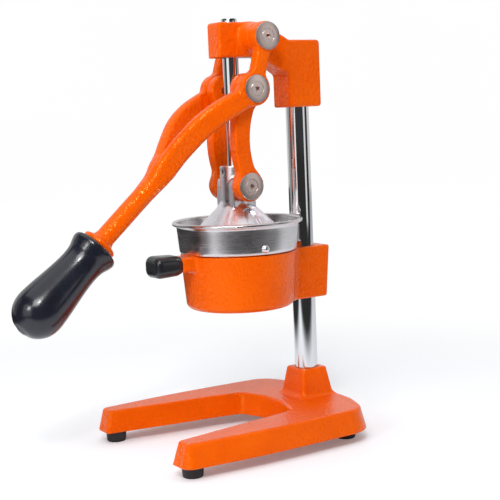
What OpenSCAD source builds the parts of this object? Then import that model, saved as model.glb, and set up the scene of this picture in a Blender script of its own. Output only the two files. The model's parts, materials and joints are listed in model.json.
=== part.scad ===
// Lever citrus press: a cast base with a chrome column, a head that guides the
// press cup's rod, a forked lever and two curved links, a strainer in a clamped holder.
// Millimetres, +Z up, front (lever side) towards -Y, right-hand side towards +X.
// The table is z = 0. The origin is the middle of the overall box on the table, and
// the modules are drawn from the rod axis, which stands rod_y behind the origin.

/* [Base] */
// Height of the rubber feet
foot_h = 10.7; // [9:0.1:13]
// Height of the cast legs above the feet
leg_h = 21.3; // [20:0.1:24]
// Half width of the base's top face at its widest
base_half_w = 89; // [87:0.5:93]
// Front edge of the leg tops, ahead of the rod axis
base_front = 112; // [108:0.5:116]
// Sideways place of the front feet
foot_x = 74.5; // [73:0.5:76]
// Place of the front feet ahead of the rod axis
foot_front = 103; // [100:0.5:104]
// Height of the column socket above the base
socket_h = 27; // [24:0.5:30]

/* [Column and head] */
// Diameter of the chrome column
column_d = 22.5; // [22:0.5:23]
// Distance of the column behind the rod axis
column_y = 74; // [73:0.5:75]
// Height of the top of the head's nose
head_top = 396; // [395:0.5:398]
// Height of the nose
nose_h = 32.5; // [31:0.5:34]
// Half width of the nose
nose_half_w = 11; // [10.5:0.25:12]
// Front of the nose ahead of the rod axis
nose_front = 18; // [16:0.5:20]
// Drop of the arm from the nose to the clamp block
arm_drop = 16.5; // [15:0.5:18]
// Height of the head's clamp block
clamp_h = 64; // [60:0.5:66]
// Half width of the head's clamp block
clamp_half_w = 15.2; // [14.5:0.1:16]

/* [Linkage] */
// Top pivot behind the rod axis
top_pivot_y = 16.6; // [16.4:0.1:16.8]
// Height of the top pivot
top_pivot_z = 381.2; // [381:0.1:381.4]
// Middle pivot behind the rod axis, lever down
mid_pivot_y = 2.8; // [2.6:0.1:3]
// Height of the middle pivot, lever down
mid_pivot_z = 333.7; // [333.5:0.1:333.9]
// Height of the lower pivot, lever down
low_pivot_z = 244.2; // [244:0.1:244.4]
// Diameter of the steel sleeves that the eyes turn on
sleeve_d = 16; // [15:0.5:17]
// Diameter of the pivot washers
washer_d = 25.6; // [24:0.2:26]
// Thickness of the pivot washers
washer_t = 1.6; // [1.5:0.1:2]

/* [Lever] */
// Angle of the lever shaft below the horizontal
lever_angle = 41.2; // [40:0.1:42]
// Diameter of the lever shaft
shaft_d = 18; // [17:0.5:19]
// Length of the black grip
grip_l = 100; // [98:1:101]

/* [Press cup and rod] */
// Diameter of the guide rod
rod_d = 15; // [14:0.5:15.5]
// Height of the rod's top end, lever down
rod_top = 399.6; // [399:0.1:401]
// Diameter of the press cup's stem
stem_d = 29; // [28:0.2:29.2]
// Height of the stem's top
stem_top = 263.5; // [261:0.5:266]
// Outer radius of the press cup's skirt
press_r = 43; // [41:0.5:45]

/* [Strainer and holder] */
// Outer diameter of the strainer's rolled rim
rim_d = 124; // [122:0.5:126]
// Height of the strainer's rim
rim_z = 212.4; // [211:0.1:214]
// Height of the holder's top edge
holder_top = 182; // [181:0.1:183]
// Height of the holder's bowl
bowl_h = 52.5; // [50:0.5:54]
// Radius of the juice outlet
outlet_r = 20; // [16:0.5:22]

/* [Hidden] */
$fn = 64;
// distance of the rod axis behind the origin
rod_y = 64;
hull_fn = 48;
eps = 0.01;

// Gaps: between bodies that pass each other, and round a pin that turns
side_gap = 0.3;
run_gap = 0.05;

// Layers across the width, from the stem outwards
lug_x = 14.7;
link_x0 = lug_x + side_gap;
link_x1 = 26.8;
lever_x0 = link_x1 + 0.4;
lever_x1 = 38.4;
arm_mid_x = (lever_x0 + lever_x1) / 2;

base_z = foot_h;
base_top = foot_h + leg_h;
socket_top = base_top + socket_h;
column_r = column_d / 2;
column_bore_r = column_r + run_gap;
column_foot_z = base_z + 13.3;
column_top = head_top - arm_drop - 11.5;
rod_r = rod_d / 2;
stem_r = stem_d / 2;
nose_bottom = head_top - nose_h;
clamp_top = head_top - arm_drop;
clamp_z = clamp_top - clamp_h;
clamp_y0 = column_y - 17.5;
clamp_y1 = column_y + 19;
sleeve_r = sleeve_d / 2;
washer_r = washer_d / 2;
holder_z = holder_top - bowl_h;

orange = [0.93, 0.34, 0.02];
steel = [0.72, 0.70, 0.69];
chrome = [0.82, 0.83, 0.85];
black = [0.06, 0.06, 0.07];

// ---- helpers ----

module placed() translate([0, rod_y, 0]) children();

// Both halves of a piece that is the same on the right and on the left
module both_sides() {
    children();
    mirror([1, 0, 0]) children();
}

// Cylinder along X between x0 and x1, centred at y and z
module x_cylinder(r, x0, x1, y, z)
    translate([x0, y, z]) rotate([0, 90, 0]) cylinder(r = r, h = x1 - x0);

// Cylinder along Y between y0 and y1, centred at x and z
module y_cylinder(r, y0, y1, x, z)
    translate([x, y0, z]) rotate([-90, 0, 0]) cylinder(r = r, h = y1 - y0);

// Side profile, drawn as [y, z], given a width along X
module x_extrude(x0, x1)
    translate([x0, 0, 0]) rotate([90, 0, 90]) linear_extrude(height = x1 - x0) children();

// Rectangle from corner to corner with rounded corners
module rounded_rect(x0, y0, x1, y1, r) {
    translate([x0 + r, y0]) square([x1 - x0 - 2 * r, y1 - y0]);
    translate([x0, y0 + r]) square([x1 - x0, y1 - y0 - 2 * r]);
    for (x = [x0 + r, x1 - r], y = [y0 + r, y1 - r]) translate([x, y]) circle(r = r);
}

// Smooth curve through inner points; the two end points only steer it
function catmull(a, b, c, d, t) = 0.5 * (2 * b + (c - a) * t
    + (2 * a - 5 * b + 4 * c - d) * t * t + (3 * b - 3 * c + d - a) * t * t * t);
function spline(p, n) = [
    for (i = [1:len(p) - 3]) for (k = [0:n - 1]) catmull(p[i - 1], p[i], p[i + 1], p[i + 2], k / n),
    p[len(p) - 2]];

function unit(v) = v / norm(v);
function power_of(c, e) = sign(c) * pow(abs(c), e);

// One ring of a swept bar: a rounded rectangle square to the path, one side along X
function ring(p, dir, half_x, half_d, sides) =
    let (u = unit([1, 0, 0] - dir * dir[0]), v = cross(dir, u))
    [for (k = [0:sides - 1]) let (a = 360 * (k + 0.5) / sides)
        p + u * half_x * power_of(cos(a), 0.7) + v * half_d * power_of(sin(a), 0.7)];

// Bar swept along a path, with a half width and half depth at every point
module swept_bar(path, half_x, half_d, sides = 20) {
    n = len(path);
    points = [for (i = [0:n - 1])
        let (dir = unit(path[min(i + 1, n - 1)] - path[max(i - 1, 0)]))
        each ring(path[i], dir, half_x[i], half_d[i], sides)];
    walls = [for (i = [0:n - 2]) for (k = [0:sides - 1])
        let (a = i * sides + k, b = i * sides + (k + 1) % sides)
        each [[a, b + sides, b], [a, a + sides, b + sides]]];
    start_cap = [for (k = [1:sides - 2]) [0, k, k + 1]];
    end_cap = [for (k = [1:sides - 2]) [0, k + 1, k] + (n - 1) * sides * [1, 1, 1]];
    polyhedron(points = points, faces = concat(walls, start_cap, end_cap), convexity = 6);
}

// Frustum of a rounded rectangle: layers are [z, half x, half y]
module rounded_frustum(y, layers, r)
    hull() for (l = layers, sx = [-1, 1], sy = [-1, 1])
        translate([sx * (l[1] - r), y + sy * (l[2] - r), l[0]]) cylinder(r = r, h = eps, $fn = 24);

// ---- base ----

// Circles whose hull is the outline: [x, y, r]; grow widens it towards the table
function outer_circles(grow) = [
    for (c = [[base_half_w - 9, 4.5 - base_front, 4.5], [base_half_w - 42, -10, 42],
              [base_half_w - 47, 53, 43], [0, 13.5, 85]])
        [c[0] == 0 ? 0 : c[0] + 3.5 * grow, c[1], c[2] + 2.5 * grow]];
function bay_circles(grow) = [
    for (c = [[63.4, -125, 4], [14, -2, 36]]) [c[0] + 3 * grow, c[1], c[2] + 2 * grow]];

// Hull of a set of circles at several heights, both sides
module outline_body(layers, circles)
    hull() for (i = [0:len(layers) - 1], c = circles[i], side = [-1, 1])
        translate([side * c[0], c[1], layers[i]]) cylinder(r = c[2], h = eps, $fn = 96);

rear_foot = [64, 72];
foot_places = [for (side = [-1, 1]) each [[side * foot_x, -foot_front], [side * rear_foot[0], rear_foot[1]]]];

module base_casting() color(orange) placed() difference() {
    union() {
        outline_body([base_z, base_top - 2.2, base_top],
            [outer_circles(1), outer_circles(0.1), outer_circles(-0.6)]);
        rounded_frustum(column_y,
            [[base_top - 1, 20.3, 18.7], [socket_top - 2, 15.9, 15.4], [socket_top, 14.8, 14.3]], 3);
    }
    outline_body([base_z - 1, base_top + 1], [bay_circles(-1), bay_circles(0)]);
    outline_body([base_top - 1.6, base_top + 0.5], [bay_circles(-0.1), bay_circles(0.35)]);
    // hollows under the legs
    both_sides() hull() for (c = [[69, -82, 6], [71, -30, 9], [68, 38, 15]])
        translate([c[0], c[1], base_z - 1]) cylinder(r = c[2], h = 17, $fn = 32);
    // column socket, and the recess and hole for its bolt
    translate([0, column_y, column_foot_z]) cylinder(r = column_bore_r, h = 100);
    translate([0, column_y, base_z - 1]) cylinder(r = 15, h = column_foot_z - base_z - 5);
    translate([0, column_y, base_z]) cylinder(r = 5.25, h = 30);
    for (p = foot_places) translate([p[0], p[1], base_z - 1]) cylinder(r = 2.1, h = 13);
}

module rubber_feet() color(black) placed()
    for (p = foot_places) translate([p[0], p[1], 0]) difference() {
        cylinder(r1 = 9.1, r2 = 10, h = foot_h);
        translate([0, 0, -1]) cylinder(r = 4.8, h = 6);
        cylinder(r = 2.2, h = foot_h + 1);
    }

module foot_screws() color(steel) placed()
    for (p = foot_places) translate([p[0], p[1], 5]) difference() {
        union() {
            translate([0, 0, -2.6]) cylinder(r = 4.2, h = 2.6);
            cylinder(r = 2, h = 16);
        }
        translate([0, 0, -2.7]) cylinder(r = 1.5, h = 1.6);
    }

// ---- column ----

bolt_r = 5;
bolt_seat = column_foot_z - 6;

module column() color(chrome) placed() translate([0, column_y, column_foot_z]) difference() {
    cylinder(r = column_r, h = column_top - column_foot_z);
    translate([0, 0, -1]) cylinder(r = bolt_r + run_gap, h = 31);
}

module column_washer() color(steel) placed() translate([0, column_y, bolt_seat - 1.6]) difference() {
    cylinder(r = 10.5, h = 1.6);
    translate([0, 0, -1]) cylinder(r = bolt_r + 0.3, h = 4);
}

module column_bolt() color(steel) placed() translate([0, column_y, bolt_seat - 1.6]) {
    translate([0, 0, -5.4]) cylinder(r = 9.2, h = 5.4, $fn = 6);
    cylinder(r = bolt_r, h = 33);
}

// ---- head ----

bend_y = 28;

// Side profile of the nose and its arm, which steps down to the clamp block
module head_profile() polygon([
    [-nose_front, nose_bottom], [bend_y - 1, nose_bottom], [clamp_y0 + 1, nose_bottom - arm_drop],
    [clamp_y1 - 5, nose_bottom - arm_drop], [clamp_y1 - 5, clamp_top], [clamp_y0, clamp_top],
    [bend_y + 3, head_top], [-nose_front, head_top]]);

// The arm widens from the nose to the clamp block
module head_plan() polygon([
    for (p = [[nose_half_w, -nose_front], [nose_half_w, bend_y + 10], [nose_half_w + 1.2, bend_y + 20],
              [clamp_half_w, clamp_y0 + 1], [clamp_half_w, clamp_y1 - 5]]) p,
    for (p = [[-clamp_half_w, clamp_y1 - 5], [-clamp_half_w, clamp_y0 + 1],
              [-nose_half_w - 1.2, bend_y + 20], [-nose_half_w, bend_y + 10],
              [-nose_half_w, -nose_front]]) p]);

set_screw_r = 4;
head_screw_z = [clamp_z + 18, clamp_z + 46];

module head_casting() color(orange) placed() difference() {
    union() {
        intersection() {
            x_extrude(-20, 20) head_profile();
            translate([0, 0, clamp_z]) linear_extrude(height = 100) head_plan();
        }
        translate([-clamp_half_w, clamp_y0, clamp_z])
            cube([2 * clamp_half_w, clamp_y1 - clamp_y0, clamp_h]);
        x_cylinder(13.5, -link_x1, link_x1, top_pivot_y, top_pivot_z);
    }
    translate([0, 0, nose_bottom - 1]) cylinder(r = rod_r + run_gap, h = nose_h + 2);
    translate([0, column_y, clamp_z - 1]) cylinder(r = column_bore_r, h = column_top - clamp_z + 1);
    both_sides() x_cylinder(set_screw_r + run_gap, link_x1 - 12, link_x1 + 1, top_pivot_y, top_pivot_z);
    for (z = head_screw_z)
        y_cylinder(set_screw_r + run_gap, column_y + column_r - 1, clamp_y1 + 1, 0, z);
}

// Grub screw along Y with a hexagon socket at its rear end
module grub_screw(y0, y1, z) difference() {
    y_cylinder(set_screw_r, y0, y1, 0, z);
    translate([0, y1 - 3, z]) rotate([-90, 0, 0]) cylinder(r = 2.3, h = 4, $fn = 6);
}

module head_set_screws() color(steel) placed()
    for (z = head_screw_z) grub_screw(column_y + column_r + 0.05, clamp_y1 - 0.6, z);

// ---- pivots: sleeve, washer and countersunk screw on each side ----

module pivot_sleeves(x0, x1, y, z) both_sides() difference() {
    x_cylinder(sleeve_r, x0, x1, y, z);
    x_cylinder(set_screw_r + run_gap, x0 - 1, x1 + 1, y, z);
}

// Countersunk head: its radius at the outer face, how far that face lies below the
// washer's, and its depth
screw_head_r = 6.6;
screw_head_drop = 0.2;
screw_head_d = washer_t - screw_head_drop;

// Cone of a head whose face is at x1
module countersink(x1, y, z, grow)
    translate([x1 - screw_head_d, y, z]) rotate([0, 90, 0])
        cylinder(r1 = set_screw_r + grow, r2 = screw_head_r + grow, h = screw_head_d + eps);

module pivot_washers(x0, y, z) both_sides() difference() {
    head_face = x0 + washer_t - screw_head_drop;
    x_cylinder(washer_r, x0, x0 + washer_t, y, z);
    x_cylinder(set_screw_r + run_gap, x0 - 1, x0 + washer_t + 1, y, z);
    countersink(head_face, y, z, run_gap);
    x_cylinder(screw_head_r + run_gap, head_face, head_face + 1, y, z);
}

// Screw whose head's face is at x1 and whose shank runs in to x0
module pivot_screws(x0, x1, y, z) both_sides() difference() {
    union() {
        x_cylinder(set_screw_r, x0, x1 - screw_head_d + eps, y, z);
        countersink(x1, y, z, 0);
    }
    translate([x1 - 3, y, z]) rotate([0, 90, 0]) cylinder(r = 2.4, h = 4, $fn = 6);
}

top_washer_x = lever_x1 + side_gap;
low_washer_x = link_x1 + side_gap;

module top_pivot_sleeves() color(steel) placed()
    pivot_sleeves(link_x1, top_washer_x, top_pivot_y, top_pivot_z);
module top_pivot_washers() color(steel) placed()
    pivot_washers(top_washer_x, top_pivot_y, top_pivot_z);
module top_pivot_screws() color(steel) placed()
    pivot_screws(link_x1 - 11.5, top_washer_x + screw_head_d, top_pivot_y, top_pivot_z);

module mid_pivot_sleeves() color(steel) placed()
    pivot_sleeves(lever_x0, lever_x1, mid_pivot_y, mid_pivot_z);
module mid_pivot_washers() color(steel) placed()
    pivot_washers(lever_x1, mid_pivot_y, mid_pivot_z);
module mid_pivot_screws() color(steel) placed()
    pivot_screws(link_x0 + 2.5, lever_x1 + screw_head_d, mid_pivot_y, mid_pivot_z);

// The lower pivot's set stays inside the links, clear of the press cup's lugs
module low_pivot_sleeves() color(steel) placed()
    pivot_sleeves(link_x0, low_washer_x, 0, low_pivot_z);
module low_pivot_washers() color(steel) placed()
    pivot_washers(low_washer_x, 0, low_pivot_z);
module low_pivot_screws() color(steel) placed()
    pivot_screws(link_x0, low_washer_x + screw_head_d, 0, low_pivot_z);

// ---- lever ----

// The lever shaft's axis starts at its collar and runs down to the grip's end
collar_y = -142;
collar_z = 204.6;
module on_lever_axis() translate([0, collar_y, collar_z]) rotate([90 + lever_angle, 0, 0]) children();

// Middle line of a fork arm, from the middle eye to the shaft
arm_guide = [[arm_mid_x, 14, 341], [arm_mid_x, mid_pivot_y - 4, mid_pivot_z - 4], [arm_mid_x, -14, 322.4],
    [28.2, -31.8, 313], [22, -48, 300.7], [13, -62.3, 284.6], [6.8, -72.6, 270.6], [5, -83.4, 257],
    [4.8, -96, 245], [4.8, -108, 234.5]];
arm_steps = 3;
arm_path = spline(arm_guide, arm_steps);
arm_last = len(arm_path) - 1;
// the bar is 10.8 x 17.6 at the eye and 22 deep halfway, and its end is buried in the shaft
arm_half_x = [for (i = [0:arm_last]) 5.4 - 1.2 * pow(i / arm_last, 3)];
arm_half_d = [for (i = [0:arm_last]) 8.8 + 2.2 * sin(180 * i / arm_last) - 2.6 * pow(i / arm_last, 4)];
// side view of the web that joins the two arms above the shaft
arm_web = [[-76, 281], [-79.5, 275.5], [-83.5, 269], [-89, 261.5], [-97, 254], [-90, 240],
    [-78, 250.5], [-71.5, 258], [-67.5, 266], [-64.8, 274.5]];

module crank_bar() {
    reach = [top_pivot_y - mid_pivot_y, top_pivot_z - mid_pivot_z];
    tilt = atan2(reach[0], reach[1]);
    translate([0, mid_pivot_y, mid_pivot_z]) rotate([-tilt, 0, 0])
        translate([lever_x0 + 0.4, -5.8, 0]) cube([lever_x1 - lever_x0 - 0.8, 13.2, norm(reach)]);
}

tang_r = 6;
module lever_casting() color(orange) placed() difference() {
    union() {
        both_sides() {
            x_cylinder(13.5, lever_x0, lever_x1, top_pivot_y, top_pivot_z);
            x_cylinder(16, lever_x0, lever_x1, mid_pivot_y, mid_pivot_z);
            crank_bar();
            swept_bar(arm_path, arm_half_x, arm_half_d);
        }
        x_extrude(-3, 3) polygon(arm_web);
        on_lever_axis() rotate_extrude() polygon([
            [0, -80], [shaft_d / 2, -80], [shaft_d / 2, 0], [14, 2.4],
            [16.5, 4.2], [16.5, 8], [tang_r, 8], [tang_r, 60], [0, 60]]);
    }
    both_sides() {
        x_cylinder(sleeve_r + run_gap, lever_x0 - 1, lever_x1 + 1, top_pivot_y, top_pivot_z);
        x_cylinder(sleeve_r, lever_x0 - 1, lever_x1 + 1, mid_pivot_y, mid_pivot_z);
    }
}

grip_start = 8;
// half profile of the grip: [radius, distance from its flange end]
grip_guide = [[10, -3], [20.8, 0], [22.4, 4], [20.6, 9.5], [18, 17], [18, 29], [20, 47], [22.9, 66],
    [23.3, 77], [21.3, 86], [15, 94.5], [7.5, 98.6], [0.01, 100], [-7, 98.6]];
grip_profile = spline([for (p = grip_guide) [max(p[0], -9), p[1] * grip_l / 100]], 3);

module lever_grip() color(black) placed() on_lever_axis() translate([0, 0, grip_start]) difference() {
    rotate_extrude() polygon(concat([[0, 0]], [for (p = grip_profile) [max(p[0], 0), p[1]]]));
    translate([0, 0, -1]) cylinder(r = tang_r + run_gap, h = 54);
}

// ---- links ----

// The bar of a link is a piece of a ring whose centre lies behind it
link_ring = [78.5, 285.5];
link_ring_r = 85;
link_bar_w = 16;

module link_profile() {
    translate([mid_pivot_y, mid_pivot_z]) circle(r = 15.5);
    translate([0, low_pivot_z]) circle(r = 15);
    intersection() {
        translate(link_ring) difference() {
            circle(r = link_ring_r + link_bar_w / 2, $fn = 160);
            circle(r = link_ring_r - link_bar_w / 2, $fn = 160);
        }
        translate([-30, low_pivot_z]) square([60, mid_pivot_z - low_pivot_z]);
    }
}

module one_link() difference() {
    x_extrude(link_x0, link_x1) link_profile();
    x_cylinder(sleeve_r, link_x0 - 1, link_x1 + 1, 0, low_pivot_z);
    x_cylinder(set_screw_r + run_gap, link_x0 + 2, link_x1 + 1, mid_pivot_y, mid_pivot_z);
}

module right_link() color(orange) placed() one_link();
module left_link() color(orange) placed() mirror([1, 0, 0]) one_link();

// ---- press cup and rod ----

press_z = 185;
cone_top = 225;
cone_top_r = 18;
cone_low_z = cone_top - (press_r - cone_top_r) * 0.94;
press_wall = 4;
rod_foot = 232;
rod_screw_z = 258;

module press_profile() polygon([
    [0, cone_top - 2], [0, cone_top + 6], [stem_r - 1, cone_top + 6], [cone_top_r, cone_top],
    [press_r, cone_low_z], [press_r, press_z + 1.5], [press_r - 1.5, press_z],
    [press_r - press_wall, press_z], [press_r - press_wall, cone_low_z - 1.5],
    [cone_top_r - 5, cone_top - 2]]);

// Flats round the cone leave a round skirt and eight faces above it
flats = 8;
module cone_flats() for (i = [0:flats - 1]) rotate([0, 0, 360 / flats * i])
    translate([cone_top_r - 1.2, 0, cone_top]) rotate([0, 90 - atan(0.94) , 0])
        rotate([0, -90, 0]) translate([0, -30, -42]) cube([20, 60, 84]);

// Relief over each shoulder of the cone, which the links' lower eyes swing into
relief_r = 20.6;
relief_y = -12;
relief_z = low_pivot_z - 4;
relief_x1 = link_x1 + side_gap;

module press_cup() color(chrome) placed() difference() {
    union() {
        difference() {
            rotate_extrude() press_profile();
            cone_flats();
        }
        translate([0, 0, cone_top - 2]) cylinder(r = stem_r, h = stem_top - cone_top + 2);
        x_cylinder(13, -lug_x, lug_x, 0, low_pivot_z);
        translate([-lug_x, -13, cone_top - 1]) cube([2 * lug_x, 26, low_pivot_z - cone_top + 1]);
    }
    translate([0, 0, rod_foot]) cylinder(r = rod_r, h = 60);
    both_sides() x_cylinder(set_screw_r + run_gap, rod_r - 2, lug_x + 1, 0, low_pivot_z);
    y_cylinder(2.6, -stem_r - 1, 0, 0, rod_screw_z);
    both_sides() x_cylinder(relief_r, lug_x, relief_x1, relief_y, relief_z);
}

module guide_rod() color(chrome) placed() difference() {
    translate([0, 0, rod_foot]) cylinder(r = rod_r, h = rod_top - rod_foot);
    translate([0, 0, rod_top - 8]) cylinder(r = 3.4, h = 9);
    translate([0, 0, rod_top - 1]) cylinder(r1 = 3.4, r2 = 4.6, h = 1 + eps);
}

module rod_set_screw() color(black) placed() difference() {
    y_cylinder(2.5, 0.6 - stem_r, -rod_r, 0, rod_screw_z);
    translate([0, 0.4 - stem_r, rod_screw_z]) rotate([-90, 0, 0]) cylinder(r = 1.4, h = 3, $fn = 6);
}

// ---- strainer and reamer ----

rim_r = rim_d / 2;
bead_r = 1.9;
wall_top_r = rim_r - 2 * bead_r + 0.6;
pan_z = holder_top - 6;
sheet = 1.2;

module strainer_cup() color(steel) placed() difference() {
    union() {
        rotate_extrude() polygon([
            [0, pan_z], [49, pan_z], [50, pan_z + 1], [50, holder_top + side_gap], [54.8, holder_top + side_gap],
            [56, holder_top + 1.6], [56.4, holder_top + 5], [wall_top_r, rim_z - bead_r],
            [wall_top_r - sheet, rim_z - bead_r], [56.4 - sheet, holder_top + 5],
            [54.6, holder_top + 1.5], [48.8, holder_top + 1.5], [48.8, pan_z + sheet], [0, pan_z + sheet]]);
        translate([0, 0, rim_z - bead_r]) rotate_extrude()
            translate([rim_r - bead_r, 0]) circle(r = bead_r, $fn = 24);
    }
    // drain holes in two rings outside the reamer
    for (ring_of = [[41.5, 20], [46, 24]], i = [0:ring_of[1] - 1])
        rotate([0, 0, 360 / ring_of[1] * i]) translate([ring_of[0], 0, pan_z - 1]) cylinder(r = 1.6, h = 4);
    on_pegs() cylinder(r = peg_shank_r + run_gap, h = 8, center = true);
}

// Domed rivets on the strainer's sides, just above the holder
peg_face = 57;
peg_shank_r = 1.6;
module on_pegs() both_sides()
    rotate([0, 0, -6]) translate([peg_face, 0, holder_top + 6.5]) rotate([0, 90, 0]) children();

module strainer_pegs() color(steel) placed() on_pegs() rotate_extrude() polygon(concat(
    [[0, -3], [peg_shank_r, -3], [peg_shank_r, 0]], [for (a = [0:10:80]) [3.9 * cos(a), 0.4 + 2.4 * sin(a)]],
    [[0, 2.8]]));

reamer_top = cone_top - 4;
module reamer_cone() color(steel) placed() {
    translate([0, 0, pan_z + sheet]) rotate_extrude() polygon([
        [0, 0], [37, 0], [37, 3], [33, 6], [24, 21], [10, 37.5], [4, 41.5], [0, reamer_top - pan_z - sheet]]);
    for (i = [0:4]) rotate([0, 0, 72 / 2 * i]) rotate([90, 0, 0]) translate([0, 0, -1.3])
        linear_extrude(height = 2.6) polygon([
            [-36.5, pan_z + sheet + 1], [36.5, pan_z + sheet + 1], [36.5, pan_z + 12], [26, pan_z + 30],
            [11.5, reamer_top - 0.8], [-11.5, reamer_top - 0.8], [-26, pan_z + 30], [-36.5, pan_z + 12]]);
}

// ---- holder ----

bowl_top_r = 55.5;
bowl_low_r = 51.3;
bowl_wall = 4.5;
bracket_half_w = 15.2;
bracket_top = holder_top - 1.8;
bracket_rear = 23;
bracket_draft = 4.5;
fillet_r = 12;
stub_top = holder_top + 0.6;
stub_h = 13.5;
// the stub is lower behind this line, under the strainer's shoulder
stub_step = 57.5;
// centre of the corner fillet between bowl and bracket, tangent to both
bowl_mid_r = 53;
fillet_x = bracket_half_w + fillet_r;
fillet_y = sqrt(pow(bowl_mid_r + fillet_r, 2) - pow(fillet_x, 2));

module bowl_outside() rotate_extrude() polygon([
    [0, holder_z], [bowl_low_r - 5, holder_z], [bowl_low_r - 1.8, holder_z + 1.6],
    [bowl_low_r, holder_z + 5], [bowl_top_r, holder_top], [0, holder_top]]);

module bowl_inside() rotate_extrude() polygon([
    [0, holder_z + 6], [outlet_r, holder_z + 6], [bowl_low_r - bowl_wall - 5, holder_z + 12],
    [bowl_low_r - bowl_wall, holder_z + 18], [50.4, pan_z - 1], [50.4, holder_top + 1],
    [0, holder_top + 1]]);

module bracket_plan() {
    translate([-bracket_half_w, 30]) square([2 * bracket_half_w, column_y + bracket_rear - 30]);
    touch = bowl_mid_r / (bowl_mid_r + fillet_r);
    difference() {
        polygon([for (p = [[touch, 1], [1, 1]], s = [1]) [fillet_x * p[0], fillet_y * p[0]],
            for (p = [1, touch]) [-fillet_x * p, fillet_y * p]]);
        for (side = [-1, 1]) translate([side * fillet_x, fillet_y]) circle(r = fillet_r);
    }
}

// Side view of the bracket, with its rear face leaning in towards the table
module bracket_side() polygon([
    [20, holder_z], [column_y + bracket_rear - bracket_draft - 1.5, holder_z],
    [column_y + bracket_rear - bracket_draft, holder_z + 1.5], [column_y + bracket_rear, bracket_top - 1],
    [column_y + bracket_rear - 1, bracket_top], [20, bracket_top]]);

holder_screw_z = holder_z + 18.5;
tab_top = stub_top - 4;
tab_h = 6;

module holder_casting() color(orange) placed() difference() {
    union() {
        bowl_outside();
        intersection() {
            translate([0, 0, holder_z]) linear_extrude(height = bowl_h) bracket_plan();
            x_extrude(-40, 40) bracket_side();
        }
        translate([-12, -68, stub_top - stub_h]) cube([24, 68 - stub_step, stub_h]);
        translate([-12, -60, stub_top - stub_h]) cube([24, 12, holder_top - stub_top + stub_h]);
        translate([-8, -90, tab_top - tab_h]) cube([16, 30, tab_h]);
    }
    bowl_inside();
    translate([0, 0, holder_z - 1]) cylinder(r = outlet_r, h = 20);
    translate([0, column_y, holder_z - 1]) cylinder(r = column_bore_r, h = 80);
    y_cylinder(set_screw_r + run_gap, column_y + column_r - 1, column_y + 40, 0, holder_screw_z);
}

module holder_set_screw() color(steel) placed()
    grub_screw(column_y + column_r + 0.05, column_y + bracket_rear - 3.6, holder_screw_z);

grip_y0 = -95;
grip_y1 = -66;
grip_z1 = stub_top + 3;
grip_h = 20.2;
module holder_grip() color(black) placed() difference() {
    intersection() {
        translate([0, 0, grip_z1 - grip_h]) linear_extrude(height = grip_h)
            rounded_rect(-14, grip_y0, 14, grip_y1, 6);
        x_extrude(-20, 20) rounded_rect(grip_y0, grip_z1 - grip_h, grip_y1, grip_z1, 6.5);
        translate([0, grip_y1 + 1, 0]) rotate([90, 0, 0]) linear_extrude(height = 40)
            rounded_rect(-14, grip_z1 - grip_h, 14, grip_z1, 5);
    }
    translate([-8, -90, tab_top - tab_h]) cube([16, 40, tab_h]);
    translate([-12, -68, stub_top - stub_h]) cube([24, 20, stub_h]);
}

base_casting();
rubber_feet();
foot_screws();
column();
column_bolt();
column_washer();
head_casting();
head_set_screws();
top_pivot_sleeves();
top_pivot_washers();
top_pivot_screws();
holder_casting();
holder_set_screw();
holder_grip();
strainer_cup();
strainer_pegs();
reamer_cone();
lever_casting();
lever_grip();
mid_pivot_sleeves();
mid_pivot_washers();
mid_pivot_screws();
right_link();
left_link();
press_cup();
guide_rod();
rod_set_screw();
low_pivot_sleeves();
low_pivot_washers();
low_pivot_screws();
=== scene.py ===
"""Looks of the lever citrus press: cast pieces as smooth solids, turned pieces as lathed rings."""

import json
import math

import bmesh
import bpy
import numpy as np
from mathutils import Matrix, Vector


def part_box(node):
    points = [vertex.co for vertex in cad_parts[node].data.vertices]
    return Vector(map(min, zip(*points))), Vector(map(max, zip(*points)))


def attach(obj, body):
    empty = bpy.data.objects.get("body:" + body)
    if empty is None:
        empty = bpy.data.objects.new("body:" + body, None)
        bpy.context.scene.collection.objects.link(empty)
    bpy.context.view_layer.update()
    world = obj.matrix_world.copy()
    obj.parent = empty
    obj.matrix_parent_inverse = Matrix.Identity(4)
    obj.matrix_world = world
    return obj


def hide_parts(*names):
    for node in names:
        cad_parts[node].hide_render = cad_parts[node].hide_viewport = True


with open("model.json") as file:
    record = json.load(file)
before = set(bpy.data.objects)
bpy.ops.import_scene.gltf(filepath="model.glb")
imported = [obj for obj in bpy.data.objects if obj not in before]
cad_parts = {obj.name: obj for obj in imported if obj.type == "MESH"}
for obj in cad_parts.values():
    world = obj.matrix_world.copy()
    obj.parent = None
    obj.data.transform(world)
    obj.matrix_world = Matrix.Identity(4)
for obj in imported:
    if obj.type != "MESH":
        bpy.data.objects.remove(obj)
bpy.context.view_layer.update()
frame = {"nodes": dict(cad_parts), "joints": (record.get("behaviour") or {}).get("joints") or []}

# ---- places read from the frame, in millimetres from the rod axis ----

MM = 1000.0
rod_low, rod_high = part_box("guide_rod")
ROD_Y = (rod_low.y + rod_high.y) / 2


def cad_box(node):
    """Lowest and highest corner of a CAD node, in millimetres from the rod axis."""
    return [np.array((c.x, c.y - ROD_Y, c.z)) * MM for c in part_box(node)]


def pivot(name):
    """Y and Z of a joint's axis, in millimetres from the rod axis."""
    _, y, z = next(joint["pos_m"] for joint in frame["joints"] if joint["name"] == name)
    return (y - ROD_Y) * MM, z * MM


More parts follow.
